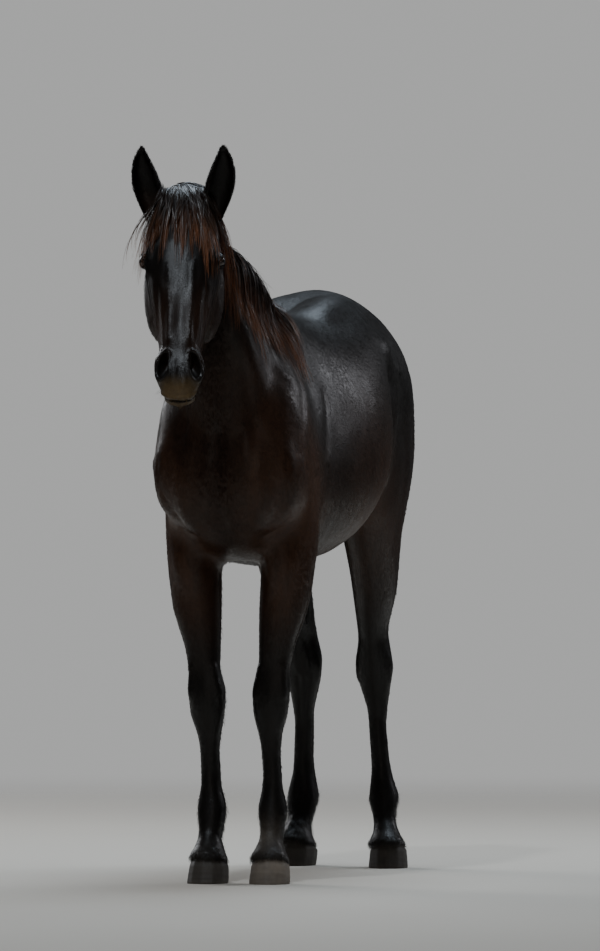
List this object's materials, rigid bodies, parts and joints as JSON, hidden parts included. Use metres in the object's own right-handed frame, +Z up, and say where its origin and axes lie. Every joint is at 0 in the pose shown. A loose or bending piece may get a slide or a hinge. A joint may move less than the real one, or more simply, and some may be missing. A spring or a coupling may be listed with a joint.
{
  "type": "horse",
  "caption": "Dark riding horse standing square and alert, head turned to the viewer, as a still life-size museum model.",
  "frame": {"origin": "on the floor, under the middle of the whole model's bounding box", "axes": "+Z up, -Y the way the horse faces, +X the horse's left"},
  "size_m": [0.5414, 2.1395, 1.937],
  "materials": {
    "coat": "short glossy near-black hair with brown tints",
    "long_hair": "long coarse dark hair with red-brown tips",
    "hoof": "dusty grey horn",
    "eye": "wet dark brown"
  },
  "bodies": {
    "root": {"trunk": "coat", "neck": "coat", "head": "coat", "ear_left": "coat", "ear_right": "coat", "foreleg_left_upper": "coat", "foreleg_left_lower": "coat", "foreleg_right_upper": "coat", "foreleg_right_lower": "coat", "hindleg_left_upper": "coat", "hindleg_left_lower": "coat", "hindleg_right_upper": "coat", "hindleg_right_lower": "coat", "hoof_front_left": "hoof", "hoof_front_right": "hoof", "hoof_hind_left": "hoof", "hoof_hind_right": "hoof", "eye_left": "eye", "eye_right": "eye", "mane": "long_hair", "forelock": "long_hair", "tail": "long_hair"}
  },
  "joints": []
}
